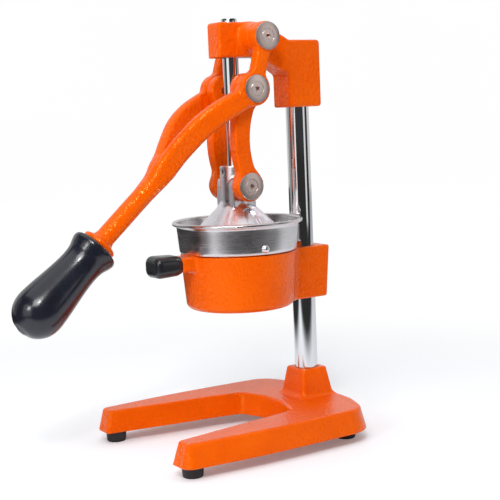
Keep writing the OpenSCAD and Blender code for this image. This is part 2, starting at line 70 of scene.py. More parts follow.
foot_lo, foot_hi = cad_box("rubber_feet")
base_hi = cad_box("base_casting")[1]
column_lo, column_hi = cad_box("column")
rod_lo, rod_hi = cad_box("guide_rod")
head_lo, head_hi = cad_box("head_casting")
lever_hi = cad_box("lever_casting")[1]
link_lo, link_hi = cad_box("right_link")
low_washer_lo, low_washer_hi = cad_box("low_pivot_washers")
press_lo, press_hi = cad_box("press_cup")
strainer_lo, strainer_hi = cad_box("strainer_cup")
reamer_hi = cad_box("reamer_cone")[1]
holder_lo, holder_hi = cad_box("holder_casting")
tab_grip_lo, tab_grip_hi = cad_box("holder_grip")

TOP_Y, TOP_Z = pivot("lever_pivot")
MID_Y, MID_Z = pivot("link_pivot")
LOW_Z = (low_washer_lo[2] + low_washer_hi[2]) / 2
FOOT_H = foot_hi[2]
COLUMN_Y = (column_lo[1] + column_hi[1]) / 2
COLUMN_R = (column_hi[0] - column_lo[0]) / 2
ROD_R = (rod_hi[0] - rod_lo[0]) / 2
SOCKET_TOP, SOCKET_RISE = base_hi[2], 27
LEG_TOP = SOCKET_TOP - SOCKET_RISE
HEAD_TOP = head_hi[2]
SIDE_GAP = 0.4  # between the links and the lever's arms
LINK_X0, LINK_X1 = link_lo[0], link_hi[0]
LEVER_X0, LEVER_X1 = LINK_X1 + SIDE_GAP, lever_hi[0]
STEM_TOP, PRESS_Z, PRESS_R = press_hi[2], press_lo[2], press_hi[0]
RIM_R, RIM_Z = strainer_hi[0], strainer_hi[2]
PAN_Z, PAN_DROP = strainer_lo[2], 6  # the pan hangs that far below the holder's top
HOLDER_Z, HOLDER_TOP = holder_lo[2], PAN_Z + PAN_DROP
PIVOT_EYE_R = 13.6  # of the head's bosses and of the lever's upper eyes
SIDES = ((1, "X"), (-1, "-X"))  # right and left, and the axis that points outwards there

# ---- signed distance fields: negative inside, in millimetres ----


def meet(a, b, r):
    """What two fields share, with the edge between them rounded to radius r."""
    return np.minimum(-r, np.maximum(a, b)) + np.hypot(np.maximum(r + a, 0), np.maximum(r + b, 0))


def join(a, b, r):
    """Two fields together, with a fillet of radius r where they meet."""
    return np.maximum(r, np.minimum(a, b)) - np.hypot(np.maximum(r - a, 0), np.maximum(r - b, 0))


def cut(a, b, r):
    """The first field without the second, with the new edge rounded to radius r."""
    return meet(a, -b, r)


def between(v, lo, hi):
    """Slab of v from lo to hi."""
    return np.maximum(lo - v, v - hi)


def disc(a, b, ca, cb, r):
    """Round bar of radius r about (ca, cb), endless along the third axis."""
    return np.hypot(a - ca, b - cb) - r


def polygon(a, b, outline):
    """Distance to a closed outline of (a, b) points."""
    near = np.full(np.broadcast(a, b).shape, 1e9, np.float32)
    inside = np.zeros(near.shape, bool)
    for (a0, b0), (a1, b1) in zip(outline, outline[1:] + outline[:1]):
        da, db, wa, wb = a1 - a0, b1 - b0, a - a0, b - b0
        t = np.clip((wa * da + wb * db) / max(da * da + db * db, 1e-9), 0, 1)
        near = np.minimum(near, (wa - da * t) ** 2 + (wb - db * t) ** 2)
        if db != 0:
            inside ^= ((b0 > b) != (b1 > b)) & (wa < da * wb / db)
    return np.where(inside, -1, 1) * np.sqrt(near)


def rounded(corners, steps=6):
    """Outline through corners (a, b, radius), each turned into a curve of that many steps."""
    outline = []
    for i, (a, b, r) in enumerate(corners):
        here = np.array((a, b), float)
        back = np.array(corners[i - 1][:2]) - here
        ahead = np.array(corners[(i + 1) % len(corners)][:2]) - here
        lengths = np.hypot(*back), np.hypot(*ahead)
        back, ahead = back / lengths[0], ahead / lengths[1]
        half = math.acos(max(-1, min(1, float(back @ ahead)))) / 2
        if r == 0:
            outline.append((float(a), float(b)))
            continue
        reach = min(r / max(math.tan(half), 1e-3), 0.48 * min(lengths))
        for k in range(steps + 1):
            t = k / steps
            p = here + back * reach * (1 - t) ** 2 + ahead * reach * t**2
            outline.append((float(p[0]), float(p[1])))
    return outline


def spline(points, steps):
    """Catmull-Rom curve through points; the first and last only steer it."""
    p = np.array(points, float)
    out = []
    for i in range(1, len(p) - 2):
        for k in range(steps):
            t = k / steps
            out.append(0.5 * (2 * p[i] + (p[i + 1] - p[i - 1]) * t
                       + (2 * p[i - 1] - 5 * p[i] + 4 * p[i + 1] - p[i + 2]) * t**2
                       + (3 * p[i] - 3 * p[i + 1] + p[i + 2] - p[i - 1]) * t**3))
    out.append(p[-2])
    return np.array(out)


def swept(x, y, z, path, half_x, half_d, r):
    """Bar along a path, one flat side turned to x, with its edges rounded to radius r."""
    shape = np.broadcast(x, y, z).shape
    nearest = np.full(shape, 1e9, np.float32)
    at = np.zeros(shape, np.float32)
    for i, (a, b) in enumerate(zip(path, path[1:])):
        d = b - a
        px, py, pz = x - a[0], y - a[1], z - a[2]
        t = np.clip((px * d[0] + py * d[1] + pz * d[2]) / (d @ d), 0, 1)
        gap = (px - t * d[0]) ** 2 + (py - t * d[1]) ** 2 + (pz - t * d[2]) ** 2
        at = np.where(gap < nearest, i + t, at)
        nearest = np.minimum(gap, nearest)
    ahead = np.gradient(path, axis=0)
    steps = np.arange(len(path))
    d = [np.interp(at, steps, ahead[:, k]) for k in range(3)]
    p = [c - np.interp(at, steps, path[:, k]) for k, c in enumerate((x, y, z))]
    size = np.sqrt(d[0] ** 2 + d[1] ** 2 + d[2] ** 2)
    d = [c / size for c in d]
    flat = np.sqrt(1 - d[0] ** 2)
    along = p[0] * d[0] + p[1] * d[1] + p[2] * d[2]
    across = (p[0] - along * d[0]) / flat
    deep = (p[2] * d[1] - p[1] * d[2]) / flat
    u = np.maximum(np.abs(across) - np.interp(at, steps, half_x) + r, 0)
    v = np.maximum(np.abs(deep) - np.interp(at, steps, half_d) + r, 0)
    past = np.where((at <= 0) | (at >= len(path) - 1), along, 0)
    return np.sqrt(u * u + v * v + past * past) - r


def surface_net(values, lo, step):
    """Corners and quads of the zero level of sampled values, one corner per crossed cell."""
    inside = values < 0
    shape = np.array(values.shape) - 1
    count = np.zeros(shape, np.int8)
    for i in (0, 1):
        for j in (0, 1):
            for k in (0, 1):
                count += inside[i:shape[0] + i, j:shape[1] + j, k:shape[2] + k]
    crossed = (count > 0) & (count < 8)
    cells = np.argwhere(crossed)
    total = np.zeros((len(cells), 3), np.float64)
    hits = np.zeros(len(cells))
    for axis in range(3):
        along = np.eye(3, dtype=int)[axis]
        others = [np.eye(3, dtype=int)[a] for a in range(3) if a != axis]
        for i in (0, 1):
            for j in (0, 1):
                a = cells + others[0] * i + others[1] * j
                va, vb = values[tuple(a.T)], values[tuple((a + along).T)]
                hit = (va < 0) != (vb < 0)
                t = np.where(hit, va / np.where(hit, va - vb, 1), 0)
                total += np.where(hit[:, None], a + along * t[:, None], 0)
                hits += hit
    corners = np.array(lo) + step * total / hits[:, None]
    index = np.full(shape, -1, np.int64)
    index[crossed] = np.arange(len(cells))
    quads = []
    for axis in range(3):
        u, v = (axis + 1) % 3, (axis + 2) % 3
        low, high = [slice(None)] * 3, [slice(None)] * 3
        low[axis], high[axis] = slice(0, -1), slice(1, None)
        edges = np.argwhere(inside[tuple(low)] != inside[tuple(high)])
        eu, ev = edges[:, u], edges[:, v]
        edges = edges[(eu > 0) & (ev > 0) & (eu < shape[u]) & (ev < shape[v])]
        ring = []
        for du, dv in ((-1, -1), (0, -1), (0, 0), (-1, 0)):
            c = edges.copy()
            c[:, u] += du
            c[:, v] += dv
            ring.append(index[tuple(c.T)])
        ring = np.stack(ring, 1)
        starts = inside[tuple(edges.T)]
        ring[~starts] = ring[~starts][:, ::-1]
        quads.append(ring)
    return corners, np.concatenate(quads)


def to_frame(corners):
    """Places in millimetres from the rod axis as metres of the frame."""
    return (np.asarray(corners, float) / MM) + np.array((0, ROD_Y, 0))


def shown(obj):
    """Put an object into the scene."""
    bpy.context.scene.collection.objects.link(obj)
    return obj


def new_object(name, corners, faces):
    """Smooth mesh object from corners in millimetres from the rod axis."""
    mesh = bpy.data.meshes.new(name)
    mesh.from_pydata([tuple(c) for c in to_frame(corners)], [],
                     [tuple(map(int, f)) for f in faces])
    mesh.validate()
    mesh.polygons.foreach_set("use_smooth", [True] * len(mesh.polygons))
    mesh.update()
    return shown(bpy.data.objects.new(name, mesh))


NUDGE = 0.02  # distance over which a field's slope is read


def cast(name, field, lo, hi, step, symmetric=True):
    """A cast piece: the zero level of a field, sampled at every step from corner lo to hi.

    A symmetric piece is sampled from x = 0 only and mirrored.
    """
    step = step * 1.0
    lo, hi = np.array(lo, float), np.array(hi, float)
    if symmetric:
        lo[0] = 0.0
    axes = [np.arange(a, b + step, step, dtype=np.float32) for a, b in zip(lo, hi)]
    values = np.broadcast_to(field(*np.meshgrid(*axes, indexing="ij", sparse=True)),
                             [len(a) for a in axes])
    if symmetric:
        values = np.concatenate((values[:0:-1], values))
        lo[0] = -axes[0][-1]
    corners, quads = surface_net(np.ascontiguousarray(values), lo, step)

    def field_at(points):
        """The field at single places."""
        x, y, z = points.T
        return field(np.abs(x) if symmetric else x, y, z)

    for _ in range(2):  # slide the corners onto the field's own surface
        here = field_at(corners)
        slope = np.stack([(field_at(corners + NUDGE * d) - here) / NUDGE for d in np.eye(3)], 1)
        move = -here[:, None] * slope / np.maximum((slope**2).sum(1), 0.25)[:, None]
        corners = corners + np.clip(move, -0.4 * step, 0.4 * step)
    return new_object(name, corners, quads)


# ---- lathed meshes ----


def lathe(name, profile, place, axis="Z", sides=72, hexagon=()):
    """Rings of (radius, height) turned about Z, X or -X; rings listed in hexagon are six-sided."""
    corners, faces = [], []
    n = len(profile)
    for i, (r, h) in enumerate(profile):
        for k in range(sides):
            a = 2 * math.pi * k / sides
            fold = (a + math.pi / 6) % (math.pi / 3) - math.pi / 6
            radius = r / math.cos(fold) if i in hexagon else r
            corners.append((radius * math.cos(a), radius * math.sin(a), h))
    for i in range(n - 1):
        for k in range(sides):
            j = (k + 1) % sides
            low, high = i * sides, (i + 1) * sides
            faces.append((low + k, low + j, high + j, high + k))
    corners = np.array(corners)
    if axis == "X":
        corners = corners[:, [2, 0, 1]]
    elif axis == "-X":
        corners = corners[:, [2, 1, 0]] * (-1, 1, 1)
    obj = new_object(name, corners + np.array(place), faces)
    clean(obj)
    return obj


def clean(obj, sharp=35):
    """Merge the corners on the axis, face outwards and keep edges over the angle crisp."""
    bm = bmesh.new()
    bm.from_mesh(obj.data)
    bmesh.ops.remove_doubles(bm, verts=bm.verts, dist=2e-6)
    bmesh.ops.recalc_face_normals(bm, faces=bm.faces)
    for e in bm.edges:
        e.smooth = len(e.link_faces) != 2 or e.calc_face_angle(0) < math.radians(sharp)
    bm.to_mesh(obj.data)
    bm.free()
    obj.data.update()


def merged(name, objs):
    """Several meshes as one object."""
    bm = bmesh.new()
    for o in objs:
        bm.from_mesh(o.data)
    mesh = bpy.data.meshes.new(name)
    bm.to_mesh(mesh)
    bm.free()
    for o in objs:
        bpy.data.objects.remove(o)
    return shown(bpy.data.objects.new(name, mesh))


def barrel(radius, lo, hi, parts):
    """Rings of one radius up a straight bar, above the ring at lo."""
    return [(radius, lo + (hi - lo) * k / parts) for k in range(1, parts + 1)]


# ---- materials ----

NOISE_SPAN = (0.3, 0.7)  # where nearly all of a noise texture's values lie


class Nodes:
    """Shorthand for building a node material, with Principled and output nodes to start from."""

    def __init__(self, name):
        self.mat = bpy.data.materials.new(name)
        self.mat.use_nodes = True
        self.tree = self.mat.node_tree
        self.tree.nodes.clear()
        self.out = self.add("ShaderNodeOutputMaterial")
        self.bsdf = self.add("ShaderNodeBsdfPrincipled")
        self.link(self.bsdf.outputs[0], self.out.inputs[0])
        self.place = self.add("ShaderNodeTexCoord").outputs["Object"]

    def add(self, kind, **inputs):
        """New node with its inputs set by name, an underscore for each space."""
        node = self.tree.nodes.new(kind)
        for key, value in inputs.items():
            node.inputs[key.replace("_", " ")].default_value = value
        return node

    def link(self, a, b):
        """Lead output a to input b."""
        self.tree.links.new(a, b)

    def set(self, **values):
        """Set inputs of the Principled shader."""
        for key, value in values.items():
            self.bsdf.inputs[key.replace("_", " ")].default_value = value

    def noise(self, scale, detail=2.0, roughness=0.5, stretch=(1, 1, 1)):
        """Noise in the object's own space, with so many features in a metre."""
        mapping = self.add("ShaderNodeMapping")
        mapping.inputs["Scale"].default_value = stretch
        self.link(self.place, mapping.inputs["Vector"])
        node = self.add("ShaderNodeTexNoise", Scale=scale, Detail=detail, Roughness=roughness)
        self.link(mapping.outputs[0], node.inputs["Vector"])
        return node.outputs[0]

    def ramp(self, factor, low, high, span=NOISE_SPAN):
        """Colour from low to high while the factor crosses its span."""
        node = self.add("ShaderNodeValToRGB")
        for element, at, colour in zip(node.color_ramp.elements, span, (low, high)):
            element.position = at
            element.color = (*colour, 1)
        self.link(factor, node.inputs[0])
        return node.outputs[0]

    def colour(self, factor, low, high, span=NOISE_SPAN):
        """Base colour that varies with a factor."""
        self.link(self.ramp(factor, low, high, span), self.bsdf.inputs["Base Color"])

    def span(self, factor, low, high, start=NOISE_SPAN, smooth=False):
        """Number from low to high while the factor crosses its starting span."""
        node = self.add("ShaderNodeMapRange", From_Min=start[0], From_Max=start[1],
                        To_Min=low, To_Max=high)
        if smooth:
            node.interpolation_type = "SMOOTHSTEP"
        self.link(factor, node.inputs["Value"])
        return node.outputs[0]

    def math(self, operation, *values):
        """Arithmetic on sockets and plain numbers."""
        node = self.add("ShaderNodeMath")
        node.operation = operation
        for socket, value in zip(node.inputs, values):
            if isinstance(value, (int, float)):
                socket.default_value = value
            else:
                self.link(value, socket)
        return node.outputs[0]

    def bump(self, height, strength, distance, onto=None):
        """Bump the shader's surface; onto is an earlier bump that lies under this one."""
        node = self.add("ShaderNodeBump", Strength=strength, Distance=distance)
        self.link(height, node.inputs["Height"])
        if onto is not None:
            self.link(onto, node.inputs["Normal"])
        self.link(node.outputs[0], self.bsdf.inputs["Normal"])
        return node.outputs[0]


EVEN = (1, 1, 1)
ORANGE_DEEP, ORANGE_LIGHT = (0.88, 0.099, 0.0003), (0.95, 0.122, 0.0006)
ORANGE_GLINT = (1, 0.62, 0.16, 1)


def enamel(name, peel, grain, stretch):
    """Orange coat over cast metal: peel is how deep its dimples are, in metres."""
    n = Nodes(name)
    n.colour(n.noise(22), ORANGE_DEEP, ORANGE_LIGHT)
    n.link(n.span(n.noise(160, 3), 0.13, 0.20), n.bsdf.inputs["Roughness"])
    n.set(Specular_IOR_Level=0.6, Specular_Tint=ORANGE_GLINT)
    coarse = n.bump(n.noise(grain, 1.5, 0.5, stretch), 1.0, peel)
    n.bump(n.noise(grain * 3.1), 1.0, peel * 0.12, coarse)
    return n.mat


def metal(name, colour, rough, streaks, scale, depth, tint):
    """Bare or plated metal with wear in its roughness; streaks stretches the brushing."""
    n = Nodes(name)
    brush = n.noise(scale, 4, 0.6, streaks)
    n.colour(brush, tuple(c * (1 - tint) for c in colour), colour)
    wear = n.span(n.noise(30), 0.8, 1.2)
    scratches = n.span(brush, -0.15 * rough, 0.15 * rough)
    n.link(n.math("MULTIPLY_ADD", wear, rough, scratches), n.bsdf.inputs["Roughness"])
    n.set(Metallic=1.0)
    n.bump(brush, 0.6, depth)
    return n.mat


def moulded(name, colour, rough, coat, grain, depth):
    """Black rubber or plastic with a faint moulded grain."""
    n = Nodes(name)
    n.colour(n.noise(45, 3), colour, tuple(c * 1.5 for c in colour), (0.35, 0.7))
    n.link(n.span(n.noise(120, 3), rough * 0.85, rough * 1.2), n.bsdf.inputs["Roughness"])
    n.set(Coat_Weight=coat, Coat_Roughness=0.08)
    n.bump(n.noise(grain), 0.8, depth)
    return n.mat


orange_smooth = enamel("orange_smooth", peel=0.00105, grain=340, stretch=(1, 1, 0.8))
orange_rough = enamel("orange_rough", peel=0.00110, grain=300, stretch=EVEN)
bare_iron = metal("machined_face", (0.52, 0.50, 0.49), rough=0.38, streaks=(1, 6, 1), scale=220,
                  depth=0.00002, tint=0.05)
chrome = metal("chrome_plate", (0.80, 0.80, 0.81), rough=0.07, streaks=(1, 1, 0.1), scale=500,
               depth=0.000004, tint=0.03)
steel = metal("turned_steel", (0.97, 0.79, 0.73), rough=0.34, streaks=EVEN, scale=900,
              depth=0.000006, tint=0.12)
stainless = metal("spun_steel", (0.78, 0.75, 0.76), rough=0.26, streaks=(0.04, 0.04, 4),
                  scale=420, depth=0.000012, tint=0.06)
aluminium = metal("polished_casting", (0.95, 0.92, 0.97), rough=0.30, streaks=EVEN, scale=120,
                  depth=0.000012, tint=0.05)
rubber = moulded("black_rubber", (0.012, 0.012, 0.013), rough=0.55, coat=0.0, grain=900,
                 depth=0.00006)
grip_plastic = moulded("grip_plastic", (0.009, 0.010, 0.017), rough=0.22, coat=0.30, grain=160,
                       depth=0.00001)
soft_grip = moulded("soft_grip", (0.008, 0.009, 0.012), rough=0.30, coat=0.30, grain=300,
                    depth=0.00002)


def paint(obj, material):
    """Give an object one material in place of any it has."""
    obj.data.materials.clear()
    obj.data.materials.append(material)


def dress(obj, material, body, slot, *nodes):
    """Give a piece its finish, its body and the CAD nodes it stands for; the slot is not used."""
    paint(obj, material)
    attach(obj, body)
    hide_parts(*nodes)


# ---- base ----

LEG_DRAFT, BAY_DRAFT = 0.26, 0.19  # how far the sides lean for each millimetre of height
BASE_REAR = base_hi[1] - LEG_DRAFT * (LEG_TOP - FOOT_H) - 0.1
OUTLINE = rounded([
    (-12, BASE_REAR, 0), (20, BASE_REAR, 40), (46, BASE_REAR - 2, 40), (86.2, 79, 33),
    (88.8, 5, 900), (89.2, -45, 900), (84.7, -112, 5), (-12, -112, 0)], 12)
BAY = rounded([
    (-12, 34.2, 0), (14, 34.2, 40), (44.6, 24, 12), (50.3, -5, 300), (57.0, -54, 600),
    (66.6, -112, 600), (69, -140, 0), (-12, -140, 0)], 12)
FOOT_R = 10
FRONT_FOOT = (foot_hi[0] - FOOT_R, foot_lo[1] + FOOT_R)
REAR_FOOT = (64, 72)
LEG_WALL, LEG_DECK = 6.5, 6  # thickness of the cored casting at its sides and on top
FOOT_POST_R, COLUMN_POST_R = 9, 23
SOCKET_HALF_X, SOCKET_LEAN_X = 14.9, 0.185
SOCKET_HALF_Y, SOCKET_LEAN_Y = 14.4, 0.15
SOCKET_FOOT = 20  # the socket's lower end, inside the casting
THUMB_MARK, THUMB_MARK_R = (76, -125.2, 18.5), 10  # hollow in the front of each leg
COLUMN_SEAT = 24
BOLT_RECESS_R, BOLT_RECESS_TOP, BOLT_HOLE_R = 15, 19, 5.3
SCREW_HOLE_R, SCREW_HOLE_TOP = 2.1, 22


def base_field(x, y, z):
    """Two cored legs round the bay, the column's socket, and the holes for bolt and screws."""
    x = np.abs(x)
    drop, rise = LEG_TOP - z, SOCKET_TOP - z
    outer = polygon(x, y, OUTLINE) - LEG_DRAFT * drop
    bay = -(polygon(x, y, BAY) + BAY_DRAFT * drop)
    plan = meet(outer, bay, 3.0)
    body = meet(meet(plan, z - LEG_TOP, 2.4), FOOT_H - z, 0.8)
    inside = meet(meet(plan + LEG_WALL, z - LEG_TOP + LEG_DECK, 2.5), FOOT_H - 3 - z, 0.5)
    posts = np.minimum(disc(x, y, *FRONT_FOOT, FOOT_POST_R), disc(x, y, *REAR_FOOT, FOOT_POST_R))
    posts = np.minimum(posts, disc(x, y, 0, COLUMN_Y, COLUMN_POST_R))
    body = cut(body, cut(inside, posts, 1.5), 1.0)
    socket = meet(x - SOCKET_HALF_X - SOCKET_LEAN_X * rise,
                  np.abs(y - COLUMN_Y) - SOCKET_HALF_Y - SOCKET_LEAN_Y * rise, 3.5)
    socket = meet(meet(socket, -rise, 1.8), SOCKET_FOOT - z, 1)
    body = join(body, socket, 5.0)
    mx, my, mz = THUMB_MARK
    body = cut(body, np.sqrt((x - mx) ** 2 + (y - my) ** 2 + (z - mz) ** 2) - THUMB_MARK_R, 0.8)
    bore = disc(x, y, 0, COLUMN_Y, COLUMN_R + 0.25)
    recess = disc(x, y, 0, COLUMN_Y, BOLT_RECESS_R)
    body = cut(body, np.maximum(bore, COLUMN_SEAT - z), 0.5)
    body = cut(body, np.maximum(recess, z - BOLT_RECESS_TOP), 0.5)
    body = cut(body, disc(x, y, 0, COLUMN_Y, BOLT_HOLE_R), 0.2)
    holes = np.minimum(disc(x, y, *FRONT_FOOT, SCREW_HOLE_R), disc(x, y, *REAR_FOOT, SCREW_HOLE_R))
    return cut(body, np.maximum(holes, z - SCREW_HOLE_TOP), 0.2)


base = cast("base", base_field, (-97, -118, 8), (97, 104, 61), 1.0)
dress(base, orange_smooth, "stand", "orange_enamel", "base_casting")

foot_profile = [
    (2.3, 5.0), (2.3, FOOT_H), (9.4, FOOT_H), (9.9, FOOT_H - 0.6), (9.3, 2.0), (9.0, 0.7),
    (8.4, 0.12), (7.8, 0), (5.6, 0), (5.0, 0.3), (4.8, 1.0), (4.8, 5.0), (2.3, 5.0)]
feet = [lathe("foot_part", foot_profile, (sx * fx, fy, 0))
        for sx in (-1, 1) for fx, fy in (FRONT_FOOT, REAR_FOOT)]
dress(merged("feet", feet), rubber, "stand", "black_rubber", "rubber_feet")

# ---- column and rod ----

CHAMFER = 0.6
column_len = column_hi[2] - column_lo[2]
column_profile = [
    (0, 0), (COLUMN_R - CHAMFER, 0), (COLUMN_R, CHAMFER),
    *barrel(COLUMN_R, CHAMFER, column_len - CHAMFER, 12),
    (COLUMN_R - CHAMFER, column_len), (0, column_len)]
column = lathe("chrome_column", column_profile, (0, COLUMN_Y, column_lo[2]), sides=96)
dress(column, chrome, "stand", "chrome_plate", "column")

CENTRE_MARK_R, CENTRE_MARK_DEPTH = 3.4, 8  # hole that the lathe left in the rod's upper end
rod_len = rod_hi[2] - rod_lo[2]
rod_profile = [
    (0, 0), (ROD_R - 0.4, 0), (ROD_R, 0.4), *barrel(ROD_R, 0.4, rod_len - 0.8, 8),
    (ROD_R - 0.25, rod_len - 0.25), (ROD_R - 0.9, rod_len), (5.0, rod_len), (4.4, rod_len - 0.5),
    (CENTRE_MARK_R, rod_len - 1.4), (CENTRE_MARK_R, rod_len - CENTRE_MARK_DEPTH),
    (0, rod_len - CENTRE_MARK_DEPTH)]
rod = lathe("rod", rod_profile, (0, 0, rod_lo[2]))
dress(rod, chrome, "press", "chrome_plate", "guide_rod")

# ---- head ----

NOSE_FRONT, CLAMP_REAR = head_lo[1], head_hi[1]
NOSE_Z = HEAD_TOP - 32.5
NOSE_HALF, CLAMP_HALF = 11.0, 15.2
CLAMP_FRONT, CLAMP_Z, CLAMP_TOP = 56.5, NOSE_Z - 47.9, HEAD_TOP - 16.6
HEAD_SIDE = rounded([
    (NOSE_FRONT, NOSE_Z, 1.2), (28, NOSE_Z, 8), (CLAMP_FRONT, NOSE_Z - 16.5, 5),
    (CLAMP_FRONT, CLAMP_Z, 2.5), (CLAMP_REAR, CLAMP_Z, 3.5), (CLAMP_REAR, CLAMP_TOP, 4),
    (57.2, CLAMP_TOP, 7), (31, HEAD_TOP, 7), (NOSE_FRONT, HEAD_TOP, 3.5)])
FLARE_Y, FLARE = 36, 20  # where the nose starts to widen towards the clamp block, and over what
COLUMN_END = 370  # top of the column's bore
GRUB_HOLE_R = 4.2


def head_field(x, y, z):
    """Nose with the pivot bosses, and the clamp block behind it, bored for rod and column."""
    x = np.abs(x)
    side = polygon(y, z, HEAD_SIDE)
    t = np.clip((y - FLARE_Y) / FLARE, 0, 1)
    half = NOSE_HALF + (CLAMP_HALF - NOSE_HALF) * t * t * (3 - 2 * t)
    body = meet(side, x - half, 2.6)
    boss = meet(disc(y, z, TOP_Y, TOP_Z, PIVOT_EYE_R), x - LINK_X1 + 0.02, 1.2)
    body = join(body, boss, 4.0)
    body = cut(body, disc(x, y, 0, 0, ROD_R + 0.2), 0.6)
    body = cut(body, np.maximum(disc(x, y, 0, COLUMN_Y, COLUMN_R + 0.2), z - COLUMN_END), 0.6)
    screws = np.minimum(disc(x, z, 0, NOSE_Z - 30, GRUB_HOLE_R),
                        disc(x, z, 0, NOSE_Z - 2, GRUB_HOLE_R))
    return cut(body, np.maximum(screws, COLUMN_Y - y), 0.6)


head = cast("head", head_field, (-29, -20, 313), (29, 95, 398), 0.85)
dress(head, orange_smooth, "stand", "orange_enamel", "head_casting")
head.data.materials.append(bare_iron)
for face in head.data.polygons:  # the nose is faced off underneath, where no paint is left
    if face.normal.z < -0.97 and abs(face.center.z * MM - NOSE_Z) < 0.6:
        face.material_index = 1

# ---- lever ----

SHAFT_DOWN = math.radians(41.2)
SHAFT_DIR = np.array((0, -math.cos(SHAFT_DOWN), -math.sin(SHAFT_DOWN)))
COLLAR = np.array((0, -142.0, 204.6))  # distances along the shaft count from here, towards the grip
SHAFT_R, SHAFT_START = 9.0, -84
CONE_FLARE, COLLAR_R = 6, 16.2
TANG_R, TANG_END = 6, 40
ARM_X = (LEVER_X0 + LEVER_X1) / 2
ARM_PATH = spline([
    (ARM_X, 14, 341), (ARM_X - 1.2, MID_Y - 3, MID_Z - 4), (ARM_X - 1.4, -14, 322.2),
    (28.2, -31.8, 313.0), (22.3, -48.0, 300.7), (13.4, -62.0, 284.8), (6.6, -72.5, 270.8),
    (4.4, -83.5, 257.6), (3.6, -96, 245.5), (3.2, -110, 233)], 4)
# the arm's half width and half depth at heights along it
ARM_HALF_X = np.interp(ARM_PATH[:, 2], (233, 250, 264, 276, 300), (3.0, 5.6, 7.0, 6.4, 6.4))
ARM_HALF_D = np.interp(ARM_PATH[:, 2], (233, 250, 262, 300, 322, 335),
                       (4.0, 7.0, 10.6, 11.2, 10.6, 9.0))
ARM_EDGE = 5.6
WEB = rounded([  # the casting that closes the fork below its crotch
    (-81.5, 277.5, 2), (-86.5, 270, 6), (-92, 261, 0), (-90, 242, 0), (-75, 255, 4),
    (-70, 266, 3)])
WEB_HALF = 4
MID_EYE_R = 15.6
CRANK_HALF, CRANK_REACH = 6.7, 49
TOP_BORE_R, MID_BORE_R = 8.1, 8.0
LINKS_FRONT = -18  # behind this place the arms stay outside the links


def lever_eyes(x, y, z):
    """Upper and middle eye of an arm, and the crank bar between them."""
    thick = between(x, LEVER_X0, LEVER_X1)
    top_eye = meet(disc(y, z, TOP_Y, TOP_Z, PIVOT_EYE_R), thick, 1.6)
    mid_eye = meet(disc(y, z, MID_Y, MID_Z, MID_EYE_R), thick, 2.0)
    up = np.array((TOP_Y - MID_Y, TOP_Z - MID_Z))
    up = up / np.hypot(*up)
    along = (y - MID_Y) * up[0] + (z - MID_Z) * up[1]
    across = (y - MID_Y) * up[1] - (z - MID_Z) * up[0]
    crank = meet(np.abs(across - 0.8) - CRANK_HALF, thick, 2.4)
    crank = meet(crank, between(along, 0, CRANK_REACH), 1)
    return join(join(top_eye, crank, 3.0), mid_eye, 3.0)


def lever_shaft(x, y, z):
    """Round shaft with its cone and collar, and the tang that goes into the grip."""
    s = (y - COLLAR[1]) * SHAFT_DIR[1] + (z - COLLAR[2]) * SHAFT_DIR[2]
    t = (y - COLLAR[1]) * -SHAFT_DIR[2] + (z - COLLAR[2]) * SHAFT_DIR[1]
    r = np.hypot(x, t)
    shaft = meet(r - SHAFT_R, between(s, SHAFT_START, 4), 6.0)
    collar = meet(r - COLLAR_R, between(s, 2.6, 7.8), 1.4)
    flare = CONE_FLARE * np.clip((s + 1) / 4, 0, 1)
    cone = meet(np.maximum(r - SHAFT_R - flare, -20), between(s, -2, 5), 0.8)
    tang = meet(r - TANG_R, between(s, 0, TANG_END), 0.6)
    return join(join(shaft, cone, 3.0), collar, 1.5), tang


def lever_field(x, y, z):
    """Fork with its eyes and crank bars, and the shaft to which both arms run."""
    x = np.abs(x)
    arm = swept(x, y, z, ARM_PATH, ARM_HALF_X, ARM_HALF_D, ARM_EDGE)
    arm = np.maximum(join(arm, lever_eyes(x, y, z), 3.5), x - LEVER_X1)
    arm = join(arm, meet(polygon(y, z, WEB), x - WEB_HALF, 1.0), 2.5)
    shaft, tang = lever_shaft(x, y, z)
    body = join(join(arm, shaft, 4.0), tang, 0.4)
    body = np.maximum(body, np.where(y < LINKS_FRONT, -50, LEVER_X0 - x))
    body = cut(body, disc(y, z, TOP_Y, TOP_Z, TOP_BORE_R), 0.4)
    return cut(body, disc(y, z, MID_Y, MID_Z, MID_BORE_R), 0.4)


lever = cast("lever", lever_field, (-40, -178, 170), (40, 33, 397), 1.0)
dress(lever, orange_rough, "lever", "orange_enamel", "lever_casting")

GRIP_START = COLLAR + SHAFT_DIR * 8.0
grip_curve = spline([  # radius and distance from the start
    (-9, -3), (10, 0.0), (19.8, 0.2), (22.0, 3.2), (21.0, 8.0), (18.9, 14), (18.1, 22), (18.6, 33),
    (20.2, 47), (22.2, 62), (23.2, 76), (21.3, 85.5), (16.9, 92.4), (11.2, 97.0), (5.6, 98.8),
    (3.2, 99.7), (0.0, 100.0), (-4, 99.6)], 5)
grip_profile = [(6.3, 40.0), (6.3, 1.0), (6.9, 0.1)]
grip_profile += [(max(float(r), 0), float(h)) for r, h in grip_curve]
grip = lathe("grip", grip_profile, (0, 0, 0), sides=96)
grip.data.transform(Matrix.Translation((0, -ROD_Y, 0)))
along_shaft = Matrix.Rotation(math.pi / 2 + SHAFT_DOWN, 4, "X")
grip.data.transform(Matrix.Translation(Vector(to_frame(GRIP_START))) @ along_shaft)
clean(grip, 60)
dress(grip, grip_plastic, "lever", "black_plastic", "lever_grip")

# ---- links ----

RING_Y, RING_Z, RING_R, LINK_W = 78.5, 285.5, 85.0, 16.4  # each link is a piece of a ring
LINK_MID_R, LINK_MID_BORE_R = 15.0, 4.3
LINK_LOW_R, LINK_LOW_BORE_R = 14.4, 8.0


